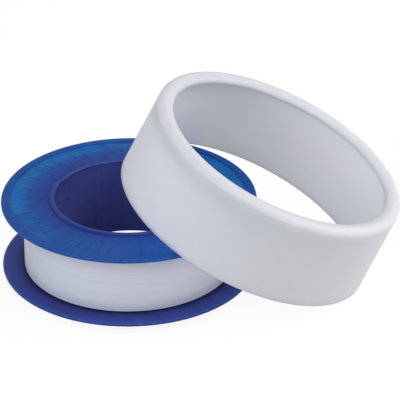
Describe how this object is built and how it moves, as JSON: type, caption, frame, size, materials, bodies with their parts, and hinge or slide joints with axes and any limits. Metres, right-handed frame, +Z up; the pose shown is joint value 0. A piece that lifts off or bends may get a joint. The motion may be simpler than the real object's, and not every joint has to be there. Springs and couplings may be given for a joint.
{
  "type": "thread seal tape roll",
  "caption": "Flanged blue reel wound with white thread seal tape, with a white lipped cover ring taken off and leaning on the reel's rim.",
  "frame": {"origin": "on the reel's axis, on the surface that the reel's foot ring stands on", "axes": "+Z up the reel's axis, +X towards the side that the cover ring leans over"},
  "size_m": [0.0809, 0.0544, 0.0392],
  "materials": {
    "reel_plastic": "glossy moulded polypropylene, slightly see-through blue",
    "tape_film": "soft white film, waxy and matt",
    "cover_plastic": "satin moulded polyethylene, milky white"
  },
  "bodies": {
    "reel": {"reel_base": "reel_plastic", "upper_flange": "reel_plastic", "tape_core": "tape_film", "tape_outer_turn": "tape_film"},
    "tape_end": {"tape_end": "tape_film"},
    "cover_ring": {"cover_ring": "cover_plastic"}
  },
  "joints": [
    {"name": "cover_lift", "type": "slide", "parent": "reel", "child": "cover_ring", "axis": [0, 0, 1], "range_m": [0, 0.04]},
    {"name": "tape_peel", "type": "hinge", "parent": "reel", "child": "tape_end", "pos_m": [-0.00739, 0.0203, 0.00855], "axis": [0, 0, -1], "range_deg": [0, 80]}
  ]
}
